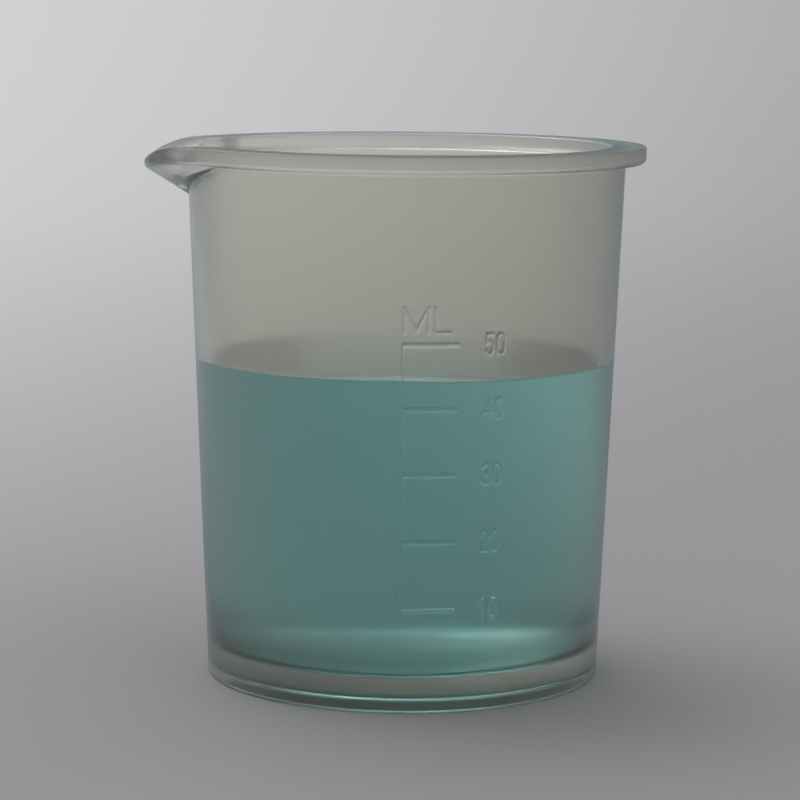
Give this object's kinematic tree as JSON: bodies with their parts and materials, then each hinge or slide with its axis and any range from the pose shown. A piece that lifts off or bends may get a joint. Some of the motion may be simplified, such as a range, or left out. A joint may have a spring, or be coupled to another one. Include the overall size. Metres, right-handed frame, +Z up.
{
  "type": "laboratory beaker",
  "caption": "Low-form moulded plastic beaker with a tapered wall, flat flanged rim, pouring spout, foot ring and raised volume lines, part filled with liquid.",
  "frame": {"origin": "on the table, under the centre of the beaker's bounding box; the beaker's own axis stands 1.25 mm to +X of it, because the spout reaches out to -X", "axes": "+Z up along the beaker's axis, -X towards the spout's nose, -Y out of the side with the volume scale"},
  "size_m": [0.0552, 0.0526, 0.059],
  "materials": {
    "natural_polypropylene": "translucent moulded polypropylene, uncoloured, smooth with a soft sheen",
    "tinted_water": "clear blue-green liquid with a still, glossy surface"
  },
  "bodies": {
    "root": {"beaker_body": "natural_polypropylene", "liquid": "tinted_water"}
  },
  "joints": []
}
